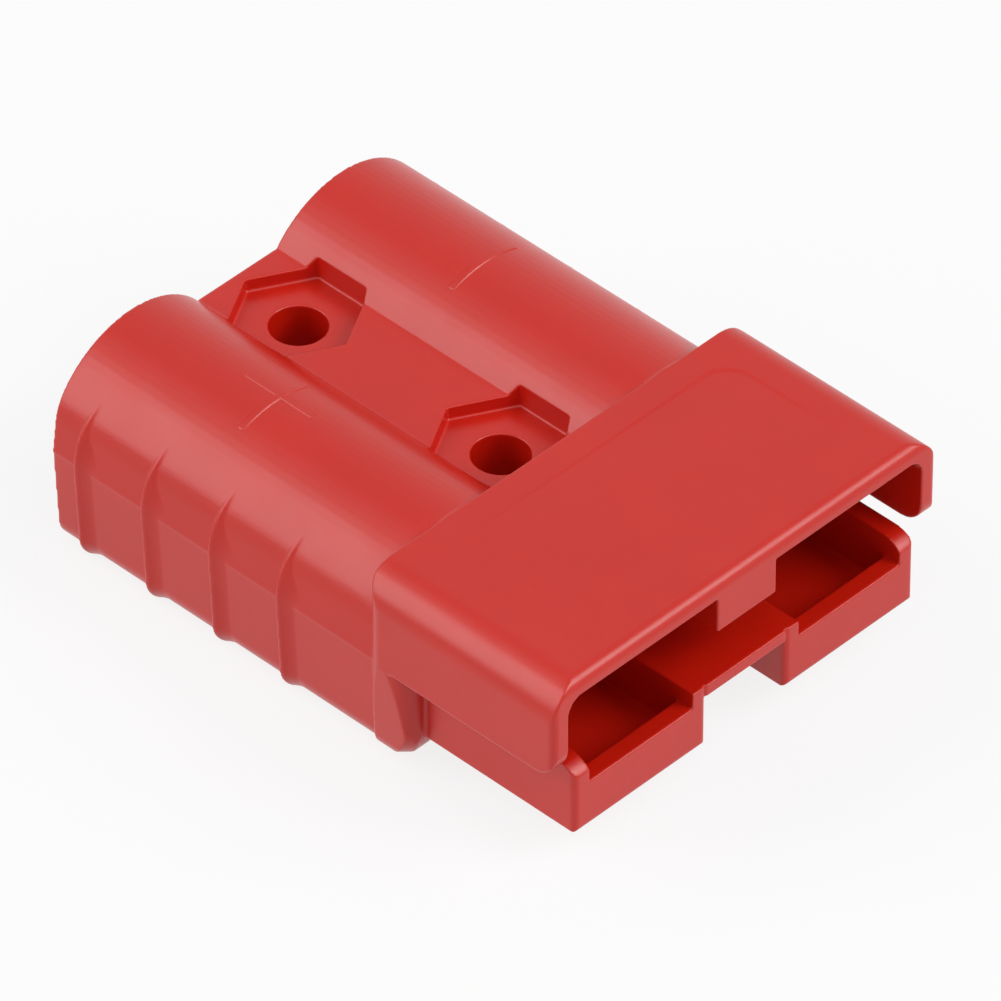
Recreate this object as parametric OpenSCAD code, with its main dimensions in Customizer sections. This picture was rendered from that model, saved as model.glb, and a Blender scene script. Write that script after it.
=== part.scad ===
// Two-pole genderless power connector housing with its two captive leaf springs.
// +X is the mating end, +Y the far pole, +Z the roof of the hood; the origin is
// the middle of the footprint on the resting plane.  All sizes in millimetres.

/* [Envelope] */
// overall length, cable end to mating face
body_len = 47.4; // [46:0.1:52]
// overall width across the hood
body_w = 36.6; // [36:0.1:40]
// overall height, resting plane to hood roof
body_h = 16.3; // [16:0.1:17]

/* [Cable barrels] */
// distance between the two pole axes
pole_pitch = 20.0; // [19.4:0.1:20.6]
// outer radius of a cable barrel
barrel_r = 7.9; // [7.6:0.05:8.2]
// outermost half width of the body at the parting plane
side_y = 17.58; // [17.3:0.02:17.8]
// lean of the upper side above the parting plane, in degrees
side_lean = 7.3; // [5:0.1:9]
// rounding between the upper side and the barrel
blend_r = 4.5; // [3.5:0.1:5.5]
// height of the valley floor between the barrels
valley_z = 13.2; // [12.6:0.1:13.8]
// radius of the round cable entry
bore_r = 5.6; // [5:0.1:5.8]
// sideways lean of the lower half, measured at the bottom edge
draft_in = 0.46; // [0.2:0.02:0.8]
// rounding of the lower long edges
foot_r = 2.1; // [1:0.1:2.6]

/* [Grip ribs] */
// spacing of the grip ribs
rib_pitch = 6.35; // [5.5:0.05:6.8]
// how far a rib stands out of the side
rib_h = 0.38; // [0.2:0.02:0.5]
// length of the hollow front slope of a rib
rib_slope = 1.7; // [1.2:0.05:2]
// forward turn of a rib crest where it climbs the barrel, in degrees
rib_turn = 19; // [0:1:24]

/* [Hood and tongue] */
// length of the hood, mouth to its rear wall
hood_len = 17.45; // [16.8:0.05:18.4]
// length of the tongue, and depth of the mating cavity
tongue_len = 13.7; // [12.5:0.1:14.2]
// wall thickness of hood, tongue floor and trough walls
wall = 1.4; // [1.2:0.05:1.6]
// height of the mating middle plane above the resting plane
mate_z = 8.72; // [8.6:0.02:9]
// play between two mated halves, top and bottom
mate_gap = 0.25; // [0.1:0.05:0.4]
// sideways play of the tongue inside the hood of its mate
side_gap = 0.6; // [0.3:0.05:0.8]
// rounding of the long roof edges
hood_r = 2.7; // [1.8:0.1:3]
// height of the front lip of a trough above the resting plane
lip_z = 6.7; // [6:0.1:7.4]
// height of the outer trough walls
wall_z = 8.5; // [8.2:0.05:8.6]
// top of the bridge and of the inner trough walls
bridge_z = 7.95; // [7.4:0.05:8.2]
// width of the key slot under the bridge
slot_w = 7.56; // [6.6:0.1:8]
// width of the key rib under the roof
key_w = 5.6; // [4.6:0.1:6.2]
// height of the key rib
key_h = 2.9; // [2.2:0.1:3.4]

/* [Roof panel] */
// depth of the shallow roof panel at its deepest corner
panel_h = 0.1; // [0.05:0.01:0.2]
// distance from the rear wall of the hood to the panel edge
panel_set = 2.35; // [1.5:0.05:3.5]
// half width of the panel on its deep side
panel_y = 13.9; // [12:0.1:14.5]
// rounding of the deep corner of the panel
panel_r = 2.2; // [1:0.1:3]

/* [Contact tunnels] */
// length of a contact tunnel behind the root of the tongue
tunnel_len = 8.3; // [7:0.1:9.5]
// height of a contact tunnel above its floor
tunnel_h = 6.8; // [6:0.1:7.2]

/* [Mounting holes] */
// diameter of the two mounting holes
hole_d = 4.1; // [3.2:0.1:4.5]
// distance from the mating face to the front mounting hole
hole_x = 22.55; // [22.4:0.05:24]
// distance from the cable end to the rear mounting hole
hole_end = 5.85; // [5.4:0.05:6.5]
// length of the nut recess, corner to corner along the body
nut_long = 9.5; // [8.4:0.05:9.6]
// width of the nut recess between its two long walls
nut_wide = 8.95; // [7.4:0.05:9]
// how far a nut recess sits behind the middle of its hole
nut_back = 0.25; // [0:0.05:0.4]
// depth of the nut recess below the valley floor
nut_deep = 1.05; // [0.6:0.05:2]

/* [Leaf springs] */
// width of a leaf spring
leaf_w = 7.2; // [5:0.1:8.6]
// strip thickness of a leaf spring
leaf_t = 0.45; // [0.3:0.05:0.6]
// rise of the spring arch above the trough floor
leaf_rise = 2.2; // [1.4:0.1:2.4]
// distance from the mating face to the front end of a spring
leaf_front = 9.6; // [9:0.1:10.5]
// length of a leaf spring along the body
leaf_len = 11.3; // [10:0.1:12]

/* [Hidden] */
$fn = 96;
eps = 0.01;
over = 1;
front_x = body_len / 2;
rear_x = -body_len / 2;
hood_x = front_x - hood_len;
shoulder_x = front_x - tongue_len;
half_w = body_w / 2;
pole_y = pole_pitch / 2;
crown_drop = 0.07;
barrel_z = body_h - crown_drop - barrel_r;
parting_step = 0.03;
low_side_y = side_y - parting_step;
foot_y = low_side_y - draft_in;
lean = atan2(draft_in, barrel_z);
blend_gap = (side_y - pole_y) * cos(side_lean);
blend_run = barrel_r - blend_r;
blend_a = side_lean + acos((blend_gap - blend_r) / blend_run);
blend_y = pole_y + blend_run * cos(blend_a);
blend_z = barrel_z + blend_run * sin(blend_a);
hood_low_z = mate_z + 0.04;
tongue_z = 2 * mate_z - body_h + wall + mate_gap;
tongue_y = half_w - wall - side_gap;
floor_z = tongue_z + wall;
slot_y = slot_w / 2;
trough_in_y = slot_y + wall - 0.1;
trough_out_y = tongue_y - wall;
trough_y = (trough_in_y + trough_out_y) / 2;
bridge_t = 1;
roof_in_z = body_h - wall;
inner_r = hood_r - wall;
mouth_r = 0.9;
mouth_side_r = 0.5;
wall_end_r = 1.9;
collar_rear_r = 1.5;
collar_front_r = 2.0;
collar_toe_r = 3.5;
collar_corner_r = 3.8;
collar_out = 0.2;
trough_tip_r = 2;
trough_tip_run = 1.6;
tongue_r = 0.45;
tongue_edge_r = 0.2;
cavity_x = shoulder_x - mate_gap;
tunnel_x = shoulder_x - tunnel_len;
tunnel_top_z = floor_z + tunnel_h;
bore_z = barrel_z + 0.2;
bore_lead = 0.6;
rib_count = 4;
rib_first = 2.55;
rib_back = 0.25;
rib_root = 0.6;
rib_fade = 40;
rib_over = 8;
rib_foot_turn = 80;
rib_arc_r = 7;
rib_dip = 0.05;
rib_fall = rib_h + rib_dip;
rib_hollow_r = (rib_slope * rib_slope + rib_fall * rib_fall) / (2 * rib_fall);
rib_crest_n = low_side_y * cos(lean) - barrel_z * sin(lean) + rib_h;
rib_tip_y = pole_y + barrel_r * cos(rib_fade);
rib_tip_z = barrel_z + barrel_r * sin(rib_fade);
rib_tip_n = rib_tip_y * cos(lean) - rib_tip_z * sin(lean);
rib_tip_t = rib_tip_y * sin(lean) + rib_tip_z * cos(lean);
rib_arc_a = acos(1 - (rib_crest_n - rib_tip_n) / (rib_arc_r * cos(rib_turn)));
rib_arc_t = rib_tip_t - rib_arc_r * sin(rib_arc_a);
foot_run = foot_r / tan((90 + lean) / 2);
rib_foot_t = (foot_y - foot_run) * sin(lean) + foot_r * cos(lean);
nut_z = valley_z - nut_deep;
nut_run = nut_long * 0.48;
panel_x = hood_x + panel_set;
panel_pitch = atan2(panel_h, 9.5);
panel_roll = atan2(panel_h, 24.7);
leaf_tip = front_x - leaf_front;
leaf_back = leaf_tip - leaf_len;
leaf_foot = 2.2;
leaf_tab = 0.9;
tab_gap = 0.1;
arch_half = (leaf_tip - leaf_back - leaf_foot) / 2;
arch_rise = leaf_rise - leaf_t;
arch_r = (arch_half * arch_half + arch_rise * arch_rise) / (2 * arch_rise);
arch_x = leaf_back + leaf_foot + arch_half;
red = [0.78, 0.13, 0.11];
steel = [0.74, 0.75, 0.77];

// a profile drawn across the part (across, up), drawn out from x0 to x1
module along_x(x0, x1) {
  translate([x0, 0, 0])
    rotate([90, 0, 90])
      linear_extrude(height = x1 - x0)
        children();
}

// a profile drawn from the side (along, up), drawn out from y0 to y1
module along_y(y0, y1) {
  translate([0, y1, 0])
    rotate([90, 0, 0])
      linear_extrude(height = y1 - y0)
        children();
}

// the same thing on both sides of the middle plane
module both_sides() {
  children();
  mirror([0, 1, 0])
    children();
}

// rectangle whose four corners may each have their own radius; 0 stays sharp
module corner_rect(x0, y0, x1, y1, r00, r10, r11, r01) {
  difference() {
    translate([x0, y0])
      square([x1 - x0, y1 - y0]);
    corner_cut(x0, y0, 1, 1, r00);
    corner_cut(x1, y0, -1, 1, r10);
    corner_cut(x1, y1, -1, -1, r11);
    corner_cut(x0, y1, 1, -1, r01);
  }
}

// what a rounded corner takes away
module corner_cut(x, y, sx, sy, r) {
  if (r > 0) {
    difference() {
      translate([x + sx * r / 2 - sx * over / 2, y + sy * r / 2 - sy * over / 2])
        square([r + over, r + over], center = true);
      translate([x + sx * r, y + sy * r])
        circle(r = r);
    }
  }
}

// one half of the lower body: side leaning from top_y in to low_y, rounded foot
module lower_half(top_y, low_y, top_z) {
  tilt = atan2(top_y - low_y, top_z);
  run = foot_r / tan((90 + tilt) / 2);
  polygon([
    [0, 0],
    [low_y - run, 0],
    [low_y - run, foot_r],
    [low_y + run * sin(tilt), run * cos(tilt)],
    [top_y, top_z],
    [0, top_z]
  ]);
  translate([low_y - run, foot_r])
    circle(r = foot_r);
}

// lower body across both poles
module lower_profile(top_y, low_y, top_z) {
  lower_half(top_y, low_y, top_z);
  mirror([1, 0])
    lower_half(top_y, low_y, top_z);
}

// plan outline of the collar and hood, used to round the upright corners
module plan_outline(x1, r_front) {
  corner_rect(hood_x, -half_w, x1, half_w, collar_rear_r, r_front, r_front, collar_rear_r);
}

// what the rounding between the upper side and the barrel takes away
module blend_cut() {
  translate([blend_y, blend_z])
    difference() {
      polygon([
        [0, 0],
        [(blend_r + over) * cos(side_lean), (blend_r + over) * sin(side_lean)],
        [(blend_r + over) * cos(blend_a), (blend_r + over) * sin(blend_a)]
      ]);
      circle(r = blend_r);
    }
}

// upper half of one barrel with its leaning, rounded outer side
module barrel_profile() {
  difference() {
    intersection() {
      translate([pole_y, barrel_z])
        circle(r = barrel_r);
      polygon([
        [0, barrel_z],
        [side_y, barrel_z],
        [side_y - body_h * tan(side_lean), barrel_z + body_h],
        [0, barrel_z + body_h]
      ]);
    }
    blend_cut();
  }
}

// barrels, valley and lower body behind the hood
module rear_body() {
  along_x(rear_x, hood_x + wall) {
    lower_profile(low_side_y, foot_y, barrel_z);
    translate([-pole_y, 0])
      square([pole_pitch, valley_z]);
    barrel_profile();
    mirror([1, 0])
      barrel_profile();
  }
}

// section of a rib (along the body, outwards): crest at 0,0, hollow front slope
module rib_section() {
  difference() {
    translate([-rib_back, -rib_root])
      square([rib_back + rib_slope, rib_root]);
    translate([rib_slope, rib_hollow_r - rib_fall])
      circle(r = rib_hollow_r, $fn = 128);
  }
}

// a rib section swept round a bend of radius r, from angle a0 through a,
// about an axis turned away from the length of the body
module rib_bend(r, a0, a, turn) {
  rotate([0, 0, turn])
    translate([0, -r, 0])
      rotate([90, 0, 90])
        rotate([0, 0, a0])
          rotate_extrude(angle = a)
            translate([r, 0])
              mirror([1, -1])
                rotate([0, 0, -turn])
                  rib_section();
}

// one grip rib: round the foot, up the leaning side, fading out on the barrel
module rib(x) {
  translate([x, 0, 0])
    rotate([-lean, 0, 0]) {
      translate([0, rib_crest_n, rib_arc_t])
        rib_bend(rib_arc_r, 0, rib_arc_a + rib_over, rib_turn);
      translate([0, rib_crest_n, rib_foot_t])
        linear_extrude(height = rib_arc_t - rib_foot_t)
          rib_section();
      translate([0, rib_crest_n, rib_foot_t])
        rib_bend(foot_r + rib_h, -rib_foot_turn, rib_foot_turn, 0);
    }
}

// the grip ribs of one side
module ribs() {
  intersection() {
    for (i = [0 : rib_count - 1])
      rib(rear_x + rib_first + i * rib_pitch);
    translate([rear_x, 0, 0])
      cube([body_len, body_w, body_h]);
  }
}

// the thick root of the hood and tongue, from the resting plane to the roof
module collar() {
  intersection() {
    along_x(hood_x, shoulder_x)
      lower_profile(half_w, foot_y + collar_out, hood_low_z + eps);
    linear_extrude(height = body_h)
      plan_outline(shoulder_x, collar_front_r);
    along_y(-body_w, body_w)
      corner_rect(hood_x, 0, shoulder_x, body_h, 0, collar_toe_r, 0, 0);
    collar_corner(1);
    collar_corner(-1);
  }
}

// keeps what lies behind a rounding run across one lower front corner
module collar_corner(side) {
  translate([shoulder_x - collar_front_r, side * (half_w - collar_front_r), 0])
    rotate([0, 0, side * 45])
      along_y(-2 * body_len, 2 * body_len)
        corner_rect(
          -2 * body_len, 0, collar_front_r, body_h,
          0, collar_corner_r, 0, 0
        );
}

// roof and side walls, open underneath and at the mouth
module hood() {
  difference() {
    intersection() {
      along_x(hood_x, front_x)
        corner_rect(-half_w, hood_low_z, half_w, body_h, 0, 0, hood_r, hood_r);
      linear_extrude(height = body_h + over)
        plan_outline(front_x, mouth_side_r);
      along_y(-half_w - over, half_w + over)
        corner_rect(hood_x - over, hood_low_z, front_x, body_h, 0, wall_end_r, mouth_r, 0);
    }
    along_x(cavity_x, front_x + over)
      corner_rect(
        -half_w + wall, hood_low_z - over, half_w - wall, roof_in_z,
        0, 0, inner_r, inner_r
      );
  }
}

// rib hanging from the roof between the poles
module key_rib() {
  translate([cavity_x - eps, -key_w / 2, roof_in_z - key_h])
    cube([front_x - cavity_x + eps, key_w, key_h + eps]);
}

// what the rounded front end of an outer trough wall takes away
module trough_tip_cut() {
  difference() {
    translate([front_x - trough_tip_run, wall_z - trough_tip_r])
      square([trough_tip_run + over, trough_tip_r + over]);
    translate([front_x - trough_tip_run, wall_z - trough_tip_r])
      circle(r = trough_tip_r);
  }
}

// one block of the tongue: trough walls, front lip and floor
module tongue_block() {
  difference() {
    intersection() {
      linear_extrude(height = wall_z)
        corner_rect(shoulder_x - eps, slot_y, front_x, tongue_y, 0, tongue_r, tongue_r, 0);
      along_x(shoulder_x - eps, front_x)
        corner_rect(slot_y, tongue_z, tongue_y, wall_z, 0, tongue_edge_r, 0, 0);
      along_y(slot_y, tongue_y)
        corner_rect(shoulder_x - eps, tongue_z, front_x, wall_z, 0, tongue_r, 0, 0);
    }
    translate([shoulder_x - over, slot_y - over, bridge_z])
      cube([tongue_len + 2 * over, trough_out_y - slot_y + over, over]);
    translate([front_x - wall - eps, trough_in_y, lip_z])
      cube([wall + over, trough_out_y - trough_in_y, over + wall_z - lip_z]);
    along_y(trough_out_y - eps, tongue_y + over)
      trough_tip_cut();
  }
}

// deck joining the two blocks above the key slot
module bridge() {
  translate([shoulder_x - eps, -slot_y - eps, bridge_z - bridge_t])
    cube([tongue_len + eps, slot_w + 2 * eps, bridge_t]);
}

// hollow of one pole: cable bore, contact tunnel and trough
module pole_hollow() {
  translate([rear_x - over, pole_y, bore_z])
    rotate([0, 90, 0])
      cylinder(r = bore_r, h = tunnel_x - rear_x + over);
  translate([rear_x - eps, pole_y, bore_z])
    rotate([0, 90, 0])
      cylinder(r1 = bore_r + bore_lead, r2 = bore_r, h = bore_lead);
  translate([tunnel_x - eps, trough_in_y, floor_z])
    cube([cavity_x - tunnel_x + over, trough_out_y - trough_in_y, tunnel_top_z - floor_z]);
  translate([cavity_x, trough_in_y, floor_z])
    cube([front_x - wall - cavity_x, trough_out_y - trough_in_y, body_h - wall - floor_z - key_h]);
  translate([leaf_back - tab_gap, trough_y - leaf_w / 2 - tab_gap, floor_z - leaf_tab - tab_gap])
    cube([leaf_t + 2 * tab_gap, leaf_w + 2 * tab_gap, leaf_tab + 2 * tab_gap]);
}

// shallow panel in the roof, deepest at its far rear corner
module roof_panel() {
  intersection() {
    translate([0, 0, body_h - over])
      linear_extrude(height = 2 * over)
        corner_rect(panel_x, -half_w, front_x, panel_y, 0, 0, 0, panel_r);
    translate([panel_x, panel_y, body_h - panel_h])
      rotate([-panel_roll, -panel_pitch, 0])
        translate([-body_len, -2 * body_w, 0])
          cube([2 * body_len, 3 * body_w, over]);
  }
}

// one mounting hole with its nut recess
module mounting_hole(x) {
  translate([x, 0, -over])
    cylinder(d = hole_d, h = body_h + 2 * over);
  translate([x - nut_back, 0, nut_z])
    linear_extrude(height = body_h)
      polygon([
        [-nut_long / 2, 0],
        [-nut_run / 2, -nut_wide / 2],
        [nut_run / 2, -nut_wide / 2],
        [nut_long / 2, 0],
        [nut_run / 2, nut_wide / 2],
        [-nut_run / 2, nut_wide / 2]
      ]);
}

// the moulded housing, one piece
module housing() {
  color(red)
    difference() {
      union() {
        rear_body();
        both_sides()
          ribs();
        collar();
        hood();
        key_rib();
        both_sides()
          tongue_block();
        bridge();
      }
      both_sides()
        pole_hollow();
      roof_panel();
      mounting_hole(front_x - hole_x);
      mounting_hole(rear_x + hole_end);
    }
}

// side view of a leaf spring: tab, foot and arch
module leaf_profile() {
  translate([leaf_back, floor_z - leaf_tab])
    square([leaf_t, leaf_tab + leaf_t]);
  translate([leaf_back, floor_z])
    square([leaf_foot + eps, leaf_t]);
  intersection() {
    translate([leaf_back + leaf_foot, floor_z])
      square([2 * arch_half, leaf_rise + over]);
    difference() {
      translate([arch_x, floor_z + leaf_rise - arch_r - leaf_t])
        circle(r = arch_r + leaf_t, $fn = 240);
      translate([arch_x, floor_z + leaf_rise - arch_r - leaf_t])
        circle(r = arch_r, $fn = 240);
    }
  }
}

// one leaf spring lying on the floor of its tunnel
module leaf_spring() {
  along_y(trough_y - leaf_w / 2, trough_y + leaf_w / 2)
    leaf_profile();
}

// spring of the near pole
module spring_left() {
  color(steel)
    mirror([0, 1, 0])
      leaf_spring();
}

// spring of the far pole
module spring_right() {
  color(steel)
    leaf_spring();
}

housing();
spring_left();
spring_right();
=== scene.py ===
"""Looks of a two-pole genderless power connector housing, laid out as a Blender add-on.

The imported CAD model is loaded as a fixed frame: metres, +X the mating mouth,
+Y the far pole, +Z up, origin in the middle of the footprint on the floor.
"""

import math
import bmesh
import bpy
from bpy.props import FloatProperty, FloatVectorProperty, PointerProperty
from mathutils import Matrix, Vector


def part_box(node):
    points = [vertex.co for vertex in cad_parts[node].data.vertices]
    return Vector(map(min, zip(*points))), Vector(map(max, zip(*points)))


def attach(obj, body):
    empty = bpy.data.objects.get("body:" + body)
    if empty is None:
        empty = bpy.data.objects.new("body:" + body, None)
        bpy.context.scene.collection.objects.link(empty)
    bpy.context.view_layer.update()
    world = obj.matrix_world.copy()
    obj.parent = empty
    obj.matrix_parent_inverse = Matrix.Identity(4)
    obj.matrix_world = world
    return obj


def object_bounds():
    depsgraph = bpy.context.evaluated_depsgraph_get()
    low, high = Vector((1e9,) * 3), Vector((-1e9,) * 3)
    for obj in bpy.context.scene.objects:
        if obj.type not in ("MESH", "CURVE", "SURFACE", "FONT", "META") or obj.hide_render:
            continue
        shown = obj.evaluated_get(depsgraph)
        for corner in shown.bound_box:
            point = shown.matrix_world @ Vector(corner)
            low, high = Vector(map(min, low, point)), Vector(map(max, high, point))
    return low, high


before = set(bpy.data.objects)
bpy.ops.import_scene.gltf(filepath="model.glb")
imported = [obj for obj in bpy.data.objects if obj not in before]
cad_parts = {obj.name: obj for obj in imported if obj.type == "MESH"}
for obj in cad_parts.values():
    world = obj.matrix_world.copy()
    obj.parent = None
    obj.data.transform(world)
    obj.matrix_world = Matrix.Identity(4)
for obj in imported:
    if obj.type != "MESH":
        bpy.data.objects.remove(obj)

bl_info = {
    "name": "Genderless Power Connector Looks",
    "version": (1, 0, 0),
    "blender": (4, 5, 0),
    "location": "3D View > Sidebar > Connector",
    "description": "Finishes a moulded battery connector housing and sets its studio",
    "category": "Object",
}

MM = 0.001
FRAME_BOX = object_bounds()
HOUSING_LOW, HOUSING_HIGH = (Vector(corner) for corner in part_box("housing"))
WHITE = (1.0, 1.0, 1.0)

# Skin of the moulding: how it is recast from the CAD solid
VOXEL_SHARE = 0.75
RELAX_FACTOR = 0.5
RELAX_ROUNDS = 3
KEPT_FACES = 0.082

# Sampling of the polarity signs
CROSS_STEPS = 36
AXIAL_STEPS = 24
SUNK_RELIEFS = 3

# Pole sides, as signs of Y
NEAR_POLE = -1
FAR_POLE = 1

# Soft boxes: azimuth from +X towards +Y and elevation, in degrees
MOUTH_LAMP = (30, 40)
TOP_LAMP = (330, 65)
SIDE_LAMP = (230, 27)
CABLE_LAMP = (205, 48)

# Camera body
SENSOR_WIDTH_MM = 36.0
CLIP_START = 0.01
CLIP_END = 50.0


# --------------------------------------------------------------------------
# Settings
# --------------------------------------------------------------------------


def length_setting(name, description, default_mm, low_mm=0.0, high_mm=1000.0):
    """A length, given here in millimetres and kept in metres."""
    return FloatProperty(
        name=name,
        description=description,
        default=default_mm * MM,
        min=low_mm * MM,
        max=high_mm * MM,
        precision=5,
        subtype="DISTANCE",
        unit="LENGTH",
    )


def share_setting(name, description, default):
    """A factor between 0 and 1."""
    return FloatProperty(
        name=name,
        description=description,
        default=default,
        min=0.0,
        max=1.0,
        precision=3,
        subtype="FACTOR",
    )


def colour_setting(name, description, default):
    """A scene-linear colour."""
    return FloatVectorProperty(
        name=name,
        description=description,
        default=default,
        size=3,
        min=0.0,
        max=1.0,
        subtype="COLOR",
    )


def power_setting(name, description, default):
    """A lamp's power in watts."""
    return FloatProperty(
        name=name,
        description=description,
        default=default,
        min=0.0,
        max=500.0,
        subtype="POWER",
        unit="POWER",
    )


def angle_setting(name, description, default_degrees):
    """An angle, given here in degrees and kept in radians."""
    return FloatProperty(
        name=name,
        description=description,
        default=math.radians(default_degrees),
        subtype="ANGLE",
        unit="ROTATION",
    )


class PlasticSettings(bpy.types.PropertyGroup):
    """The red moulding."""

    colour: colour_setting(
        "Plastic colour", "Body colour of the moulding", (0.605, 0.0125, 0.0032)
    )
    shade: colour_setting(
        "Flow shade", "Slightly deeper red in slow cloudy streaks", (0.535, 0.0095, 0.0022)
    )
    roughness: share_setting("Roughness", "Least roughness of the moulded skin", 0.29)
    roughness_spread: share_setting(
        "Roughness spread", "How much rougher the dullest patches are", 0.05
    )
    grain: length_setting("Grain size", "Size of the skin's orange peel", 0.9, 0.05, 5)
    grain_depth: length_setting("Grain depth", "Depth of the orange peel", 0.02, 0, 0.2)
    edge_radius: length_setting(
        "Edge radius", "Rounding of the small moulded edges", 0.13, 0.05, 0.4
    )


class SignSettings(bpy.types.PropertyGroup):
    """The moulded polarity signs on the barrels."""

    stroke: length_setting("Stroke width", "Width of a stroke's flat top", 0.40, 0.2, 1.5)
    slope: length_setting("Stroke slope", "Width of a stroke's sloping side", 0.08, 0.02, 0.5)
    relief: length_setting("Relief", "How far a stroke stands proud", 0.065, 0.01, 0.4)
    height: length_setting("Sign size", "Length of a stroke round the barrel", 6.4, 3, 9)
    from_mouth: length_setting(
        "From the mouth", "Distance of the signs from the mating face", 33.95, 28, 40
    )
    pole_pitch: length_setting("Pole pitch", "Distance between the pole axes", 20, 19, 21)
    off_crown: length_setting(
        "Off the crown", "How far the plus sign's long stroke lies inboard", 0.7, 0.0, 3.0
    )
    barrel_radius: length_setting("Barrel radius", "Radius of a barrel", 7.9, 7, 9)
    crown_drop: length_setting(
        "Crown drop", "How far a barrel's crown lies below the roof", 0.07, 0.0, 0.5
    )


class SpringSettings(bpy.types.PropertyGroup):
    """The leaf springs in the tunnels."""

    colour: colour_setting("Spring colour", "Colour of the steel strip", (0.60, 0.59, 0.57))
    roughness: share_setting("Spring roughness", "Roughness of the brightest marks", 0.20)
    roughness_spread: share_setting(
        "Spring roughness spread", "How much rougher the dullest rolling marks are", 0.22
    )
    mark_depth: length_setting("Mark depth", "Depth of the rolling marks", 0.01, 0, 0.1)


class StudioSettings(bpy.types.PropertyGroup):
    """Floor, lamps and sky."""

    floor_size: length_setting("Floor size", "Side of the square floor", 6000, 500, 20000)
    floor_colour: colour_setting("Floor colour", "Colour of the floor", (0.86, 0.86, 0.86))
    shadow: share_setting("Floor shadow", "How strongly the floor shows shadows", 0.16)
    sky_light: FloatProperty(
        name="Sky light",
        description="Strength of the even light from all round",
        default=0.30,
        min=0.0,
        max=3.0,
    )
    lamp_width: length_setting("Lamp width", "Width of a soft box", 900, 50, 3000)
    side_lamp_height: length_setting(
        "Side lamp height", "Height of the tall soft box beside the barrels", 1500, 50, 3000
    )
    lamp_distance: length_setting("Lamp distance", "Soft box to the part", 1700, 300, 6000)
    mouth_power: power_setting("Mouth lamp", "Soft box that faces the mouth", 15.4)
    top_power: power_setting("Top lamp", "Soft box high over the near pole", 4.3)
    side_power: power_setting("Side lamp", "Tall soft box beside the near barrel", 13.0)
    cable_power: power_setting("Cable end lamp", "Soft box behind the cable end", 1.8)


class CameraSettings(bpy.types.PropertyGroup):
    """Where the camera stands."""

    azimuth: angle_setting(
        "Azimuth", "Turn of the camera round the part, from the near side", 44.127
    )
    elevation: angle_setting("Elevation", "Height of the camera above the horizon", 41.165)
    distance: length_setting("Distance", "Camera to the aimed point", 942, 100, 5000)
    lens: FloatProperty(
        name="Focal length",
        description="Focal length of the lens",
        default=508.0,
        min=10.0,
        max=1000.0,
        subtype="DISTANCE_CAMERA",
        unit="CAMERA",
    )
    aim: FloatVectorProperty(
        name="Aim",
        description="Aimed point, from the middle of the part",
        default=(2.134 * MM, -1.059 * MM, 1.15 * MM),
        size=3,
        precision=5,
        subtype="TRANSLATION",
        unit="LENGTH",
    )


# --------------------------------------------------------------------------
# Materials
# --------------------------------------------------------------------------


class NodeBench:
    """Adds nodes to the tree of one material or world and links them by socket name."""

    def __init__(self, owner):
        self.owner = owner
        owner.use_nodes = True
        self.tree = owner.node_tree
        self.tree.nodes.clear()
        self.column = 0

    def add(self, kind, inputs=None, **settings):
        """A node of the kind; inputs maps socket names to values or output sockets."""
        node = self.tree.nodes.new(kind)
        node.location = (self.column * 220, 0)
        self.column += 1
        for key, value in settings.items():
            setattr(node, key, value)
        for key, value in (inputs or {}).items():
            if isinstance(value, bpy.types.NodeSocket):
                self.tree.links.new(value, node.inputs[key])
            else:
                node.inputs[key].default_value = value
        return node

    def noise(self, place, scale, detail, roughness=0.5):
        """The value of a noise at the place, scale in cells a metre."""
        node = self.add(
            "ShaderNodeTexNoise",
            {"Vector": place, "Scale": scale, "Detail": detail, "Roughness": roughness},
        )
        return node.outputs["Fac"]

    def between(self, value, low, high, **inputs):
        """A value carried from the range 0 to 1, or From Min to From Max, to low to high."""
        named = {key.replace("_", " "): item for key, item in inputs.items()}
        node = self.add(
            "ShaderNodeMapRange", {"Value": value, "To Min": low, "To Max": high, **named}
        )
        return node.outputs["Result"]

    def bump(self, height, strength, depth):
        """The normal of a surface raised by the height."""
        node = self.add(
            "ShaderNodeBump", {"Height": height, "Strength": strength, "Distance": depth}
        )
        return node.outputs["Normal"]

    def seen_directly(self):
        """1 for camera, glossy and transmission rays, 0 for rays that carry light."""
        path = self.add("ShaderNodeLightPath").outputs
        either = self.add(
            "ShaderNodeMath",
            {0: path["Is Camera Ray"], 1: path["Is Glossy Ray"]},
            operation="ADD",
        )
        either_or_through = self.add(
            "ShaderNodeMath",
            {0: either.outputs[0], 1: path["Is Transmission Ray"]},
            operation="ADD",
            use_clamp=True,
        )
        return either_or_through.outputs[0]

    def finish(self, shader, output="ShaderNodeOutputMaterial"):
        """Links the shader to the output and returns the material or world."""
        self.add(output, {"Surface": shader.outputs[0]})
        return self.owner


def rgba(colour):
    """A colour with full alpha."""
    return (*colour, 1.0)


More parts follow.
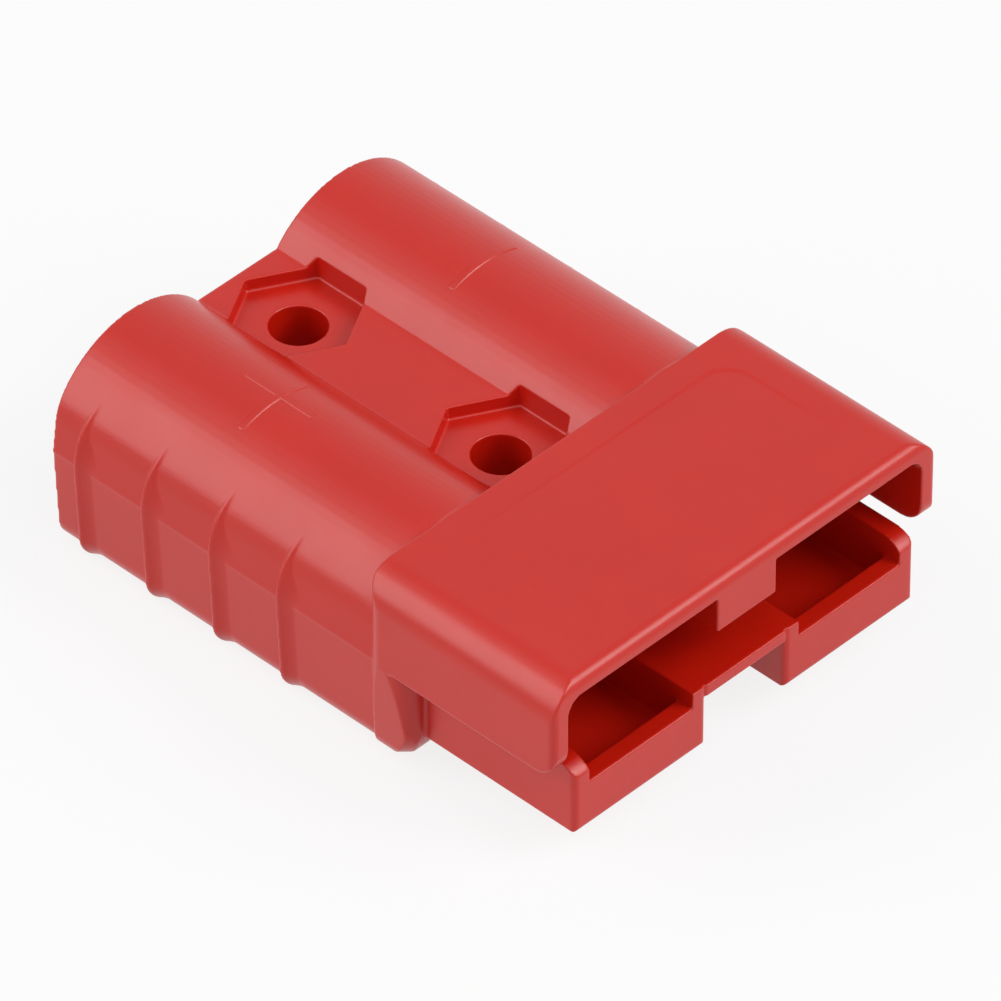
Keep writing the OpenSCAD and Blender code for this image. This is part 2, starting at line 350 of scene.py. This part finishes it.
def red_plastic():
    """Satin moulded polycarbonate: cloudy colour, fine orange peel, uneven gloss."""
    plastic = bpy.context.scene.connector_plastic
    bench = NodeBench(bpy.data.materials.new("moulded_red"))
    place = bench.add("ShaderNodeTexCoord").outputs["Object"]
    colour = bench.add(
        "ShaderNodeMix",
        {
            "Factor": bench.noise(place, scale=160.0, detail=3.0, roughness=0.55),
            "A": rgba(plastic.shade),
            "B": rgba(plastic.colour),
        },
        data_type="RGBA",
    )
    gloss = bench.between(
        bench.noise(place, scale=520.0, detail=4.0, roughness=0.6),
        plastic.roughness,
        plastic.roughness + plastic.roughness_spread,
        From_Min=0.3,
        From_Max=0.7,
    )
    peel = bench.noise(place, scale=1.0 / plastic.grain, detail=2.0)
    shader = bench.add(
        "ShaderNodeBsdfPrincipled",
        {
            "Base Color": colour.outputs["Result"],
            "Roughness": gloss,
            "Normal": bench.bump(peel, strength=0.12, depth=plastic.grain_depth),
            "IOR": 1.5,
        },
    )
    return bench.finish(shader)


def spring_steel():
    """Rolled stainless strip with fine marks along its length."""
    spring = bpy.context.scene.connector_spring
    bench = NodeBench(bpy.data.materials.new("rolled_steel"))
    place = bench.add("ShaderNodeTexCoord").outputs["Object"]
    along = bench.add("ShaderNodeMapping", {"Vector": place, "Scale": (60.0, 6000.0, 900.0)})
    marks = bench.noise(along.outputs["Vector"], scale=1.0, detail=4.0, roughness=0.6)
    gloss = bench.between(marks, spring.roughness, spring.roughness + spring.roughness_spread)
    shader = bench.add(
        "ShaderNodeBsdfPrincipled",
        {
            "Base Color": rgba(spring.colour),
            "Metallic": 1.0,
            "Roughness": gloss,
            "Normal": bench.bump(marks, strength=0.15, depth=spring.mark_depth),
        },
    )
    return bench.finish(shader)


def pale_floor():
    """White paper that keeps a share of the shadow that falls on it."""
    studio = bpy.context.scene.connector_studio
    bench = NodeBench(bpy.data.materials.new("pale_floor"))
    place = bench.add("ShaderNodeTexCoord").outputs["Object"]
    fibres = bench.noise(place, scale=900.0, detail=2.0)
    paper = bench.add(
        "ShaderNodeBsdfDiffuse",
        {
            "Color": rgba(studio.floor_colour),
            "Normal": bench.bump(fibres, strength=0.05, depth=0.02 * MM),
        },
    )
    glow = bench.add("ShaderNodeEmission", {"Color": rgba(WHITE), "Strength": 1.0})
    share = bench.add(
        "ShaderNodeMath",
        {0: bench.seen_directly(), 1: 1.0 - studio.shadow},
        operation="MULTIPLY",
    )
    mix = bench.add(
        "ShaderNodeMixShader",
        {0: share.outputs[0], 1: paper.outputs[0], 2: glow.outputs[0]},
    )
    return bench.finish(mix)


def white_sky():
    """Even white light, a strength of 1 where it is seen or mirrored."""
    bench = NodeBench(bpy.data.worlds.new("white_sky"))
    strength = bench.between(
        bench.seen_directly(), bpy.context.scene.connector_studio.sky_light, 1.0
    )
    sky = bench.add("ShaderNodeBackground", {"Color": rgba(WHITE), "Strength": strength})
    return bench.finish(sky, "ShaderNodeOutputWorld")


def put_on(thing, material):
    """Makes the material the thing's only one."""
    thing.data.materials.clear()
    thing.data.materials.append(material)


# --------------------------------------------------------------------------
# Pieces
# --------------------------------------------------------------------------


def link_new(name, data):
    """A new object of the data, in the scene."""
    thing = bpy.data.objects.new(name, data)
    bpy.context.collection.objects.link(thing)
    return thing


def soften_edges(thing, radius):
    """Recasts a CAD node by modifiers into one skin whose edges are rounded as moulded."""
    cast = thing.modifiers.new("even_skin", "REMESH")
    cast.mode = "VOXEL"
    cast.voxel_size = radius * VOXEL_SHARE
    cast.use_smooth_shade = True
    relax = thing.modifiers.new("moulded_edges", "SMOOTH")
    relax.factor = RELAX_FACTOR
    relax.iterations = RELAX_ROUNDS
    thin_out = thing.modifiers.new("fewer_faces", "DECIMATE")
    thin_out.ratio = KEPT_FACES
    shade = thing.modifiers.new("flat_faces_shade_flat", "WEIGHTED_NORMAL")
    shade.mode = "FACE_AREA"


def bar_section():
    """A bar's cross-section, as (offset across, height) pairs."""
    sign = bpy.context.scene.connector_sign
    half, root = sign.stroke / 2, -SUNK_RELIEFS * sign.relief
    rising = (
        (-half - sign.slope, root),
        (-half - sign.slope, 0.0),
        (-half, sign.relief),
    )
    return rising + tuple((-side, height) for side, height in reversed(rising))


def bar_rings(mesh, spine, section, slope):
    """Rings of vertices along a spine, narrowed and lowered over a slope at both tips."""
    last = len(spine) - 1
    for index, (point, normal) in enumerate(spine):
        before = spine[max(index - 1, 0)][0]
        after = spine[min(index + 1, last)][0]
        across = (after - before).normalized().cross(normal).normalized()
        tip_gap = min((point - spine[0][0]).length, (point - spine[last][0]).length)
        share = min(tip_gap / slope, 1.0)
        ring = []
        for side, height in section:
            rise = height if height < 0.0 else height * share
            place = point + across * side * (0.5 + share / 2) + normal * rise
            ring.append(mesh.verts.new(place))
        yield ring


def bar_mesh(name, spines):
    """Flat-topped bars with sloping sides; a spine is a list of (surface point, normal)."""
    section = bar_section()
    mesh = bmesh.new()
    for spine in spines:
        rings = list(bar_rings(mesh, spine, section, bpy.context.scene.connector_sign.slope))
        for one, two in zip(rings, rings[1:]):
            for side in range(len(section)):
                following = (side + 1) % len(section)
                mesh.faces.new((one[side], one[following], two[following], two[side]))
        mesh.faces.new(reversed(rings[0]))
        mesh.faces.new(rings[-1])
    bmesh.ops.recalc_face_normals(mesh, faces=mesh.faces)
    data = bpy.data.meshes.new(name)
    mesh.to_mesh(data)
    mesh.free()
    return link_new(name, data)


def barrel_point(pole_side, along_x, arc):
    """Point and normal on a barrel, arc measured round it from the crown towards +Y."""
    sign = bpy.context.scene.connector_sign
    radius = sign.barrel_radius
    axis_y = pole_side * sign.pole_pitch / 2
    axis_z = HOUSING_HIGH.z - sign.crown_drop - radius
    turn = arc / radius
    normal = Vector((0.0, math.sin(turn), math.cos(turn)))
    return Vector((along_x, axis_y, axis_z)) + normal * radius, normal


def spaced(start, end, steps):
    """Values from start to end, bunched at both ends where a stroke slopes off."""
    for index in range(steps + 1):
        share = 0.5 - 0.5 * math.cos(math.pi * index / steps)
        yield start + (end - start) * share


def cross_stroke(pole_side, along_x, low, high):
    """A stroke that runs round the barrel."""
    return [barrel_point(pole_side, along_x, arc) for arc in spaced(low, high, CROSS_STEPS)]


def axial_stroke(pole_side, start_x, end_x, arc):
    """A stroke that runs along the barrel."""
    return [barrel_point(pole_side, x, arc) for x in spaced(start_x, end_x, AXIAL_STEPS)]


class CONNECTOR_OT_housing(bpy.types.Operator):
    """Give the housing its red plastic and its small moulded edges"""

    bl_idname = "connector.housing"
    bl_label = "Finish Housing"

    def execute(self, context):
        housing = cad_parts["housing"]
        put_on(housing, red_plastic())
        soften_edges(housing, context.scene.connector_plastic.edge_radius)
        return {"FINISHED"}


class CONNECTOR_OT_signs(bpy.types.Operator):
    """Add the raised plus and minus signs on the barrels"""

    bl_idname = "connector.signs"
    bl_label = "Add Polarity Signs"

    def execute(self, context):
        sign = context.scene.connector_sign
        middle = HOUSING_HIGH.x - sign.from_mouth
        half = sign.height / 2
        plus = bar_mesh(
            "sign_plus",
            [
                cross_stroke(NEAR_POLE, middle, -half, half),
                axial_stroke(NEAR_POLE, middle - half, middle + half, sign.off_crown),
            ],
        )
        minus = bar_mesh("sign_minus", [cross_stroke(FAR_POLE, middle, -half, half)])
        plastic = bpy.data.materials["moulded_red"]
        for thing in (plus, minus):
            put_on(thing, plastic)
            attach(thing, "root")
        return {"FINISHED"}


class CONNECTOR_OT_springs(bpy.types.Operator):
    """Give the two leaf springs their rolled steel"""

    bl_idname = "connector.springs"
    bl_label = "Finish Leaf Springs"

    def execute(self, context):
        steel = spring_steel()
        for name in ("spring_left", "spring_right"):
            put_on(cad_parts[name], steel)
        return {"FINISHED"}


# --------------------------------------------------------------------------
# Studio
# --------------------------------------------------------------------------


def direction(turn, rise):
    """Unit vector at an azimuth from +X towards +Y and an elevation, in radians."""
    return Vector(
        (math.cos(turn) * math.cos(rise), math.sin(turn) * math.cos(rise), math.sin(rise))
    )


def soft_box(name, angles, power, height):
    """A lamp aimed at the part from the two angles, unseen by the camera."""
    studio = bpy.context.scene.connector_studio
    data = bpy.data.lights.new(name, "AREA")
    data.shape = "RECTANGLE"
    data.size = studio.lamp_width
    data.size_y = height
    data.energy = power
    lamp = link_new(name, data)
    towards = direction(*map(math.radians, angles))
    lamp.location = towards * studio.lamp_distance
    lamp.rotation_euler = towards.to_track_quat("Z", "Y").to_euler()
    lamp.visible_camera = False


class CONNECTOR_OT_studio(bpy.types.Operator):
    """Lay the pale floor and hang the soft lamps"""

    bl_idname = "connector.studio"
    bl_label = "Set Studio"

    def execute(self, context):
        studio = context.scene.connector_studio
        half = studio.floor_size / 2
        data = bpy.data.meshes.new("floor")
        corners = [(-half, -half, 0), (half, -half, 0), (half, half, 0), (-half, half, 0)]
        data.from_pydata(corners, [], [(0, 1, 2, 3)])
        floor = link_new("floor", data)
        floor.location.z = HOUSING_LOW.z
        put_on(floor, pale_floor())
        context.scene.world = white_sky()
        width = studio.lamp_width
        soft_box("mouth_lamp", MOUTH_LAMP, studio.mouth_power, width)
        soft_box("top_lamp", TOP_LAMP, studio.top_power, width)
        soft_box("side_lamp", SIDE_LAMP, studio.side_power, studio.side_lamp_height)
        soft_box("cable_end_lamp", CABLE_LAMP, studio.cable_power, width)
        return {"FINISHED"}


class CONNECTOR_OT_camera(bpy.types.Operator):
    """Stand the camera at its viewing angle"""

    bl_idname = "connector.camera"
    bl_label = "Place Camera"

    def execute(self, context):
        view = context.scene.connector_camera
        data = bpy.data.cameras.new("camera")
        data.sensor_width = SENSOR_WIDTH_MM
        data.lens = view.lens
        data.clip_start = CLIP_START
        data.clip_end = CLIP_END
        camera = link_new("camera", data)
        low, high = (Vector(corner) for corner in FRAME_BOX)
        aim = (low + high) / 2 + Vector(view.aim)
        towards = direction(view.azimuth - math.pi / 2, view.elevation)
        camera.location = aim + towards * view.distance
        camera.rotation_euler = (-towards).to_track_quat("-Z", "Y").to_euler()
        context.scene.camera = camera
        context.scene.view_settings.view_transform = "Standard"
        return {"FINISHED"}


class CONNECTOR_PT_panel(bpy.types.Panel):
    """Sidebar panel with the pieces and their settings"""

    bl_idname = "CONNECTOR_PT_panel"
    bl_label = "Power Connector"
    bl_space_type = "VIEW_3D"
    bl_region_type = "UI"
    bl_category = "Connector"

    def draw(self, context):
        scene = context.scene
        for operator, settings in (
            (CONNECTOR_OT_housing, scene.connector_plastic),
            (CONNECTOR_OT_signs, scene.connector_sign),
            (CONNECTOR_OT_springs, scene.connector_spring),
            (CONNECTOR_OT_studio, scene.connector_studio),
            (CONNECTOR_OT_camera, scene.connector_camera),
        ):
            box = self.layout.box()
            box.operator(operator.bl_idname)
            for key in settings.__annotations__:
                box.prop(settings, key)


SETTINGS = {
    "connector_plastic": PlasticSettings,
    "connector_sign": SignSettings,
    "connector_spring": SpringSettings,
    "connector_studio": StudioSettings,
    "connector_camera": CameraSettings,
}

OPERATORS = (
    CONNECTOR_OT_housing,
    CONNECTOR_OT_signs,
    CONNECTOR_OT_springs,
    CONNECTOR_OT_studio,
    CONNECTOR_OT_camera,
)


def register():
    for group in SETTINGS.values():
        bpy.utils.register_class(group)
    for operator in OPERATORS:
        bpy.utils.register_class(operator)
    bpy.utils.register_class(CONNECTOR_PT_panel)
    for key, group in SETTINGS.items():
        setattr(bpy.types.Scene, key, PointerProperty(type=group))


def unregister():
    for key in SETTINGS:
        delattr(bpy.types.Scene, key)
    bpy.utils.unregister_class(CONNECTOR_PT_panel)
    for operator in reversed(OPERATORS):
        bpy.utils.unregister_class(operator)
    for group in reversed(SETTINGS.values()):
        bpy.utils.unregister_class(group)


def main():
    """Builds the looks in order."""
    register()
    bpy.ops.connector.housing()
    bpy.ops.connector.signs()
    bpy.ops.connector.springs()
    bpy.ops.connector.studio()
    bpy.ops.connector.camera()


if __name__ == "__main__":
    main()
